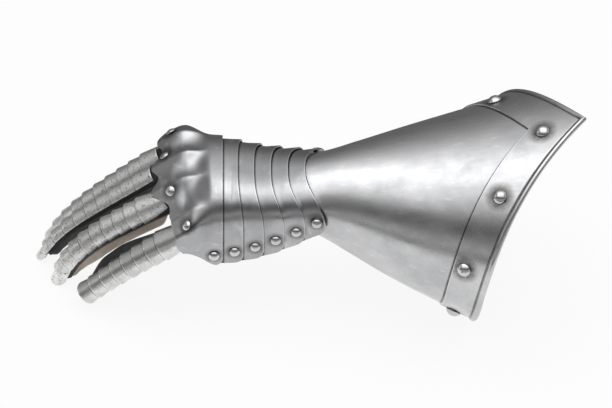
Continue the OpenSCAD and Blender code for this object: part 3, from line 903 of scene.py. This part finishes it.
def cuff_seam(p):
    """Distance past the last lame or the border, on the outer face only, for a painted shadow
    along their edges.
    """
    angle = cuff_angle(p)
    depth = (cuff_point(p.x, angle) - p).dot(cuff_normal(p.x, angle))
    if depth > PLATE / 2:
        return FAR
    return min(p.x - rear_edge(LAMES + 1, hand_angle(p)), border_x(angle) - p.x)


def make_cuff():
    cuff = formed_sheet("cuff", 144, 60, cuff_shape, PLATE, ((0.5, 0.5), (0, 0, 1)))
    cut_holes(cuff, pivot_places(LAMES + 1), PIVOT_HOLE)
    cut_holes(cuff, border_rivet_places(), RIVET_HOLE)
    note_distances(cuff, cuff_seam, lambda p: FAR)
    mesh_of("cuff_bell", cuff, "cuff", "plate_steel", cuff_steel)
    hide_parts("cuff_plate")


def border_profile():
    """Section of the border, as (edge, distance along the arm, height above the cuff).

    Edge 0 is the strip's inner edge and edge 1 the mouth. With 2 the distance is a share of the
    strip's flat face.
    """
    face = BORDER_LIFT + PLATE
    section = [(0, 0.0, BORDER_LIFT), (0, 0.05, BORDER_LIFT + 0.5 * PLATE), (0, 0.35, face)]
    section += [(2, share, face) for share in (0.1, 0.3, 0.5, 0.7, 0.9)]
    section += [(1, -ROLL_RADIUS - ROLL_GROOVE, face), (1, -ROLL_RADIUS - 1.5, face - 0.03),
                (1, -ROLL_RADIUS - 0.7, face - 0.2)]
    section += [(1, ROLL_RADIUS * cos(a), 0.4 + ROLL_RADIUS * sin(a))
                for a in range(150, -165, -15)]
    section += [(1, -ROLL_RADIUS - 0.3, BORDER_LIFT)]
    section += [(2, share, BORDER_LIFT) for share in (0.9, 0.7, 0.5, 0.3, 0.1)]
    return section


def border_point_at(angle, entry):
    edge, along, height = entry
    inner, outer = border_x(angle), mouth_x(angle)
    if edge == 0:
        x = inner + along
    elif edge == 1:
        x = outer + along
    else:
        x = mix(inner, outer - ROLL_RADIUS - ROLL_GROOVE, along)
    return cuff_point(x, angle) + height * cuff_normal(x, angle)


def model_border():
    section = border_profile()
    count = len(section)
    bpy.ops.object.select_all(action="DESELECT")
    bpy.ops.mesh.primitive_torus_add(
        major_segments=180, minor_segments=count, major_radius=1, minor_radius=0.25)
    obj = bpy.context.object
    for vertex in obj.data.vertices:
        x, y, z = vertex.co
        round_ring = math.degrees(math.atan2(y, x))
        in_section = math.atan2(z, math.hypot(x, y) - 1) / (2 * math.pi) * count
        vertex.co = at_rest(border_point_at(round_ring, section[round(in_section) % count]))
    face_outwards(obj)
    smooth_by_angle(obj, 50)
    return obj


def make_border():
    border = model_border()
    cut_holes(border, border_rivet_places(), RIVET_HOLE)
    # The seam band paints shade in the groove before the roll, and the lip band a painted
    # highlight along the strip's inner edge
    note_distances(
        border,
        lambda p: abs(mouth_x(cuff_angle(p)) - p.x - ROLL_RADIUS - 0.9) + 0.45,
        lambda p: p.x - border_x(cuff_angle(p)))
    mesh_of("cuff_border_roll", border, "cuff", "plate_steel", border_steel)
    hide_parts("cuff_border")


def make_lame(k):
    lame = formed_sheet(f"lame_{k}", 120, 26, lambda u, t: lame_point(k, u, t), PLATE,
                        ((0.5, 0.5), (0, 0, 1)))
    cut_holes(lame, pivot_places(k) + pivot_places(k + 1), PIVOT_HOLE)
    # Painted shadow past the edge of the plate over this one, and a painted highlight along its
    # own free edge
    note_distances(
        lame,
        lambda p: p.x - rear_edge(k, hand_angle(p)),
        lambda p: rear_edge(k + 1, hand_angle(p)) - p.x)
    mesh_of(f"lame_{k}_plate", lame, f"lame_{k}", "plate_steel", lame_steels[k - 1])
    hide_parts(f"wrist_lame_{k}")


def make_knuckle_plate():
    knuckles = formed_sheet("knuckles", 150, 64, knuckle_point, PLATE, ((0.5, 0.9), (0, 0, 1)))
    cut_holes(knuckles, pivot_places(1), PIVOT_HOLE)
    cut_holes(knuckles, knuckle_rivet_places(), RIVET_HOLE)
    # Painted highlight along the plate's rear edge
    note_distances(knuckles, lambda p: FAR, lambda p: PLATE_REAR - p.x)
    mesh_of("knuckle_plate_embossed", knuckles, "hand", "plate_steel", knuckle_steel)
    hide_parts("knuckle_plate")


make_cuff()
make_border()
for lame_number in range(1, LAMES + 1):
    make_lame(lame_number)
make_knuckle_plate()


# The rivets keep their solids, with merged faces

def finish_rivets(name):
    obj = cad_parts[name]
    obj.data.materials.clear()
    obj.data.materials.append(rivet_steel)
    weld = obj.modifiers.new("weld", "WELD")
    weld.merge_threshold = 1e-6
    for face in obj.data.polygons:
        face.use_smooth = True


for cad_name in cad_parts:
    if "rivets" in cad_name:
        finish_rivets(cad_name)


# Finger scales. The first ones of the ring and little finger reach back under the notch of the
# knuckle plate

# How far back that is, and the angles between which it begins
ROOT_REACH = {RING: (8, 0, 55), LITTLE: (4, -90, -20)}
THIN_PLATE = 0.7
TIP_ROUNDING = (7, 7, 7, 3, 5)


def scale_axis(f, k):
    """Direction of scale k towards the fingertip."""
    return Vector((-cos(slope(f, k)), 0, -sin(slope(f, k))))


def scale_end(f, k, u):
    """How far a scale reaches from its pivot; the last one has a rounded tip."""
    length = PITCHES[f] + SCALE_OVERLAP
    if k < SCALES[f] - 1:
        return length
    return length - TIP_ROUNDING[f] * abs(2 * u - 1) ** 3


def scale_plate(f):
    return THIN_PLATE if f == LITTLE else SCALE_PLATE


def scale_point(f, k, u, t):
    angle = LEANS[f] + ARCS[f] * (2 * u - 1)
    back = 0
    if k == 0 and f in ROOT_REACH:
        deepest, start, full = ROOT_REACH[f]
        back = deepest * smooth(angle, start, full)
    length = PITCHES[f] + SCALE_OVERLAP
    last = k == SCALES[f] - 1
    along = mix(-back, scale_end(f, k, u), t)
    r1 = free_radius(f, k)
    if f == LITTLE:
        r1 += 1.2 * k / (SCALES[f] - 1) + (0.6 * t if last else 0)
    r0 = r1 - (scale_plate(f) + SCALE_GAP) * length / PITCHES[f]
    radius = mix(r0, r1, along / length)
    out = Vector((-sin(slope(f, k)), 0, cos(slope(f, k))))
    round_axis = radius * (cos(angle) * out - sin(angle) * Vector((0, 1, 0)))
    return scale_place(f, pivot(f, k) + along * scale_axis(f, k) + round_axis)


def scale_place(f, p):
    return thumb_turned(p) if f == THUMB else p


def make_scales():
    for f in range(5):
        for k in range(SCALES[f]):
            name = f"{FINGERS[f]}_scale_{k + 1}"
            start = scale_place(f, pivot(f, k))
            axis = scale_place(f, pivot(f, k) + scale_axis(f, k)) - start
            outward = scale_point(f, k, 0.5, 0.5) - start
            scale = formed_sheet(f"formed_{name}", 32, 12,
                                 lambda u, t: scale_point(f, k, u, t),
                                 scale_plate(f), ((0.5, 0.5), outward), 0.0002)
            end = scale_end(f, k, 0.5)
            # Painted shadow past the covering scale's edge, and a painted highlight along this
            # scale's free edge
            note_distances(
                scale,
                lambda p: (p - start).dot(axis) - SCALE_OVERLAP if k else FAR,
                lambda p: end - (p - start).dot(axis))
            mesh_of(f"formed_{name}", scale, f"{FINGERS[f]}_{k + 1}", "scale_steel",
                    smooth_scale_steel if f == LITTLE else scale_steel)
            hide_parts(name)


make_scales()


# Leather under the scales, one length for each pair of neighbouring scales

def finger_sections():
    """For each finger, the (from, to) lengths in scales and the bodies at the two ends."""
    for f, name in enumerate(FINGERS):
        last = SCALES[f]
        start = -0.3 if f == THUMB else -0.9
        for k in range(last):
            q0 = start if k == 0 else k - 0.5
            q1 = last - 0.5 + 0.28 if k == last - 1 else k + 0.5
            bodies = ("hand" if k == 0 else f"{name}_{k}", f"{name}_{k + 1}")
            yield f, name, k, q0, q1, bodies


BACK_REACH = (88, 84, 114, 124, 96)
BELLY_REACH = 92
BELLY_DEPTH = (3.5, 4.5, 12, 3, 2)
LEATHER = 0.8


def back_radius(f, q, angle):
    """Radius of the black leather, which stands out beside the little and ring finger's scales."""
    r = seat_radius(f, q)
    if f == LITTLE:
        full = smooth(q, 0.5, 4.5) * (1 - smooth(q, 5.5, 8))
        side = smooth(angle, -118, -70) * (1 - smooth(angle, -42, -12))
        r += (2.5 * smooth(q, -0.5, 1.2) + 7 * full) * side
    if f == RING:
        r += 2.4 * smooth(angle, 84, 112)
    return r * tip_close(f, q)


def tip_close(f, q):
    """Rounds the leather off at the fingertip."""
    s = clamp((q - SCALES[f] + 0.85) / 0.64, 0, 1)
    return math.sqrt(max(1 - s * s, 0.0004))


def belly_hang(f, q):
    shallow = 1 - 0.6 * smooth(q, SCALES[f] - 3.5, SCALES[f])
    return BELLY_DEPTH[f] * smooth(q, -0.8, 1) * shallow


def make_finger_leather():
    for f, name, k, q0, q1, bodies in finger_sections():
        lean = LEANS[f]

        def back(u, t):
            angle = lean + BACK_REACH[f] * (2 * u - 1)
            q = mix(q0, q1, t)
            return finger_point(f, q, angle, back_radius(f, q, angle))

        def belly(u, t):
            angle = 180 + lean * 0.3 + BELLY_REACH * (2 * u - 1)
            q = mix(q0, q1, t)
            hang = belly_hang(f, q) * smooth(-cos(angle), 0.3, 1)
            return finger_point(f, q, angle, (seat_radius(f, q) - 1.6) * tip_close(f, q), hang)

        black = ("black_leather", black_leather)
        below = ("tan_leather", tan_leather) if f in (RING, THUMB) else black
        centre = finger_point(f, (q0 + q1) / 2, 0, 0)
        seam = scale_place(f, finger_place(f, k)[0])
        away = finger_point(f, k + 0.25, 0, 0) - finger_point(f, k - 0.25, 0, 0)
        for part, shape, facing, leathers, node_name in (
            ("back", back, lean, black, "finger_strips"),
            ("belly", belly, 180, below, "finger_stalls"),
        ):
            middle = finger_point(f, (q0 + q1) / 2, facing, 1)
            piece = formed_sheet(f"{name}_{part}_{k + 1}", 22, 6, shape, LEATHER,
                                 ((0.5, 0.5), middle - centre), 0)
            mesh_of(f"{name}_{part}_{k + 1}", piece, None, *leathers)
            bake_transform(piece)
            if k == 0:
                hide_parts(node_name)


make_finger_leather()


# The glove's hand: a tube in lengths that meet midway between the pivots of the lames

PALM_FRONT = -97
PALM_REAR = 16
PALM_LEATHER = 1.6


def palm_point(x, angle):
    front = smooth(-x, 66, 97)
    neck = smooth(x, -50, -17)
    half = hand_half_width(x) - 4.5 - 6.5 * neck
    top = mix(hand_height(x) - 7 - 8 * neck, 12, front)
    bottom = mix(24 - 6 * neck, 15, front)
    lean = 0.15 * front * half * cos(angle)
    rounded = signed_power(sin(angle), 0.85)
    return Vector((x, half * signed_power(cos(angle), 0.92),
                   (top if sin(angle) > 0 else bottom) * rounded + lean - 4 * front))


def make_palm():
    between_pivots = [pivot_x(k) + PIVOT_PITCH / 2 for k in range(1, LAMES + 1)]
    ends = [PALM_FRONT] + between_pivots + [PALM_REAR]
    for i in range(LAMES + 1):
        x0, x1 = ends[i], ends[i + 1]
        steps = max(4, round((x1 - x0) / 2.5))
        piece = formed_sheet(
            f"palm_{i + 1}", 72, steps,
            lambda u, t: palm_point(mix(x0, x1, t), -360 * u), PALM_LEATHER,
            ((0.75, 0.5), (0, 0, 1)), 0)
        mesh_of(f"glove_palm_{i + 1}", piece, None, "tan_leather", tan_leather)
        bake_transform(piece)
        if i == 0:
            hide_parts("glove_palm")


make_palm()


# Studio: white table, graded sky, one large softbox

def make_table():
    """A white table: its own white to the camera, and darker far behind in the steel's mirror."""
    bpy.ops.object.select_all(action="DESELECT")
    bpy.ops.mesh.primitive_plane_add(size=1, location=(0, -0.05, -0.0002))
    table = bpy.context.object
    table.name = "table"
    table.scale = (1.3, 0.8, 1)
    material, nodes, links, shader = new_material("white table")
    shader.inputs["Roughness"].default_value = 0.8
    white = node(nodes, "ShaderNodeEmission")
    white.inputs["Strength"].default_value = 1
    path = node(nodes, "ShaderNodeLightPath")
    parts = node(nodes, "ShaderNodeSeparateXYZ")
    links.new(node(nodes, "ShaderNodeTexCoord").outputs["Object"], parts.inputs["Vector"])
    behind = between(nodes, links, parts.outputs["Y"], 0, 1, 0.05, 0.3)
    mirrored = path.outputs["Is Glossy Ray"]
    dim = math_node(nodes, links, "MULTIPLY", mirrored, behind)
    links.new(blend_colours(nodes, links, dim, (0.9, 0.9, 0.9), (0.12, 0.12, 0.12)),
              shader.inputs["Base Color"])
    shared = node(nodes, "ShaderNodeMixShader")
    seen = math_node(nodes, links, "ADD", path.outputs["Is Camera Ray"],
                     math_node(nodes, links, "SUBTRACT", mirrored, dim))
    links.new(math_node(nodes, links, "MULTIPLY", seen, 0.9), shared.inputs["Fac"])
    links.new(shader.outputs["BSDF"], shared.inputs[1])
    links.new(white.outputs["Emission"], shared.inputs[2])
    output = next(n for n in nodes if n.type == "OUTPUT_MATERIAL")
    links.new(shared.outputs["Shader"], output.inputs["Surface"])
    table.data.materials.append(material)


SKY = 1.55
# Half turns from the horizon behind, over the top, to the one in front, with the light there
SKY_LEVELS = (
    (0.0, 0.1), (0.1, 0.17), (0.2, 0.34), (0.3, 0.72), (0.38, 1.0), (0.6, 1.0), (0.68, 0.62),
    (0.74, 0.2), (0.82, 0.06), (0.89, 0.12), (0.95, 0.36), (1.0, 0.46),
)


def make_sky():
    """A graded sky round the arm, darker towards both ends of it and white to the camera."""
    world = bpy.data.worlds.new("studio")
    scene.world = world
    world.use_nodes = True
    nodes, links = world.node_tree.nodes, world.node_tree.links
    background = next(n for n in nodes if n.type == "BACKGROUND")
    direction = node(nodes, "ShaderNodeTexCoord").outputs["Generated"]
    parts = node(nodes, "ShaderNodeSeparateXYZ")
    links.new(direction, parts.inputs["Vector"])
    angle = math_node(nodes, links, "ARCTAN2", parts.outputs["Z"], parts.outputs["Y"])
    share = math_node(nodes, links, "DIVIDE", angle, math.pi)
    ramp = node(nodes, "ShaderNodeValToRGB")
    while len(ramp.color_ramp.elements) < len(SKY_LEVELS):
        ramp.color_ramp.elements.new(0.5)
    for element, (at, light) in zip(ramp.color_ramp.elements, SKY_LEVELS):
        element.position = at
        element.color = (light, light, light, 1)
    links.new(share, ramp.inputs["Fac"])
    path = node(nodes, "ShaderNodeLightPath")
    sideways = math_node(nodes, links, "ABSOLUTE", parts.outputs["X"])
    high = between(nodes, links, parts.outputs["Z"], 0, 1, 0.15, 0.45)
    dim = math_node(nodes, links, "MULTIPLY", high,
                    between(nodes, links, sideways, 0, 0.85, 0.5, 0.82))
    level = blend_colours(nodes, links, dim, ramp.outputs["Color"], (0.05, 0.05, 0.05))
    seen = blend_colours(nodes, links, path.outputs["Is Camera Ray"], level,
                         (1 / SKY, 1 / SKY, 1 / SKY))
    links.new(seen, background.inputs["Color"])
    background.inputs["Strength"].default_value = SKY


def make_softbox():
    light = bpy.data.lights.new("softbox", "AREA")
    light.shape = "RECTANGLE"
    light.size = 1.4
    light.size_y = 0.7
    light.energy = 2
    lamp = bpy.data.objects.new("softbox", light)
    scene.collection.objects.link(lamp)
    lamp.location = (0.0, 0.15, 1.4)
    lamp.rotation_euler = (math.radians(-6), 0, 0)


def make_camera():
    """The photograph's view: from the little-finger side, halfway up to overhead."""
    data = bpy.data.cameras.new("camera")
    data.type = "ORTHO"
    data.sensor_fit = "HORIZONTAL"
    data.ortho_scale = 0.44676
    camera = bpy.data.objects.new("camera", data)
    scene.collection.objects.link(camera)
    half = math.sqrt(0.5)
    right = turn_at_rest((1, 0, 0))
    up = turn_at_rest((0, half, half))
    back = turn_at_rest((0, -half, half))
    middle = at_rest((-8.76, -6.2, -6.2))
    axes = Matrix((right, up, back)).transposed().to_4x4()
    camera.matrix_world = Matrix.Translation(middle + 2 * back) @ axes
    data.clip_end = 20
    scene.camera = camera


make_table()
make_sky()
make_softbox()
make_camera()
scene.view_settings.view_transform = "Standard"
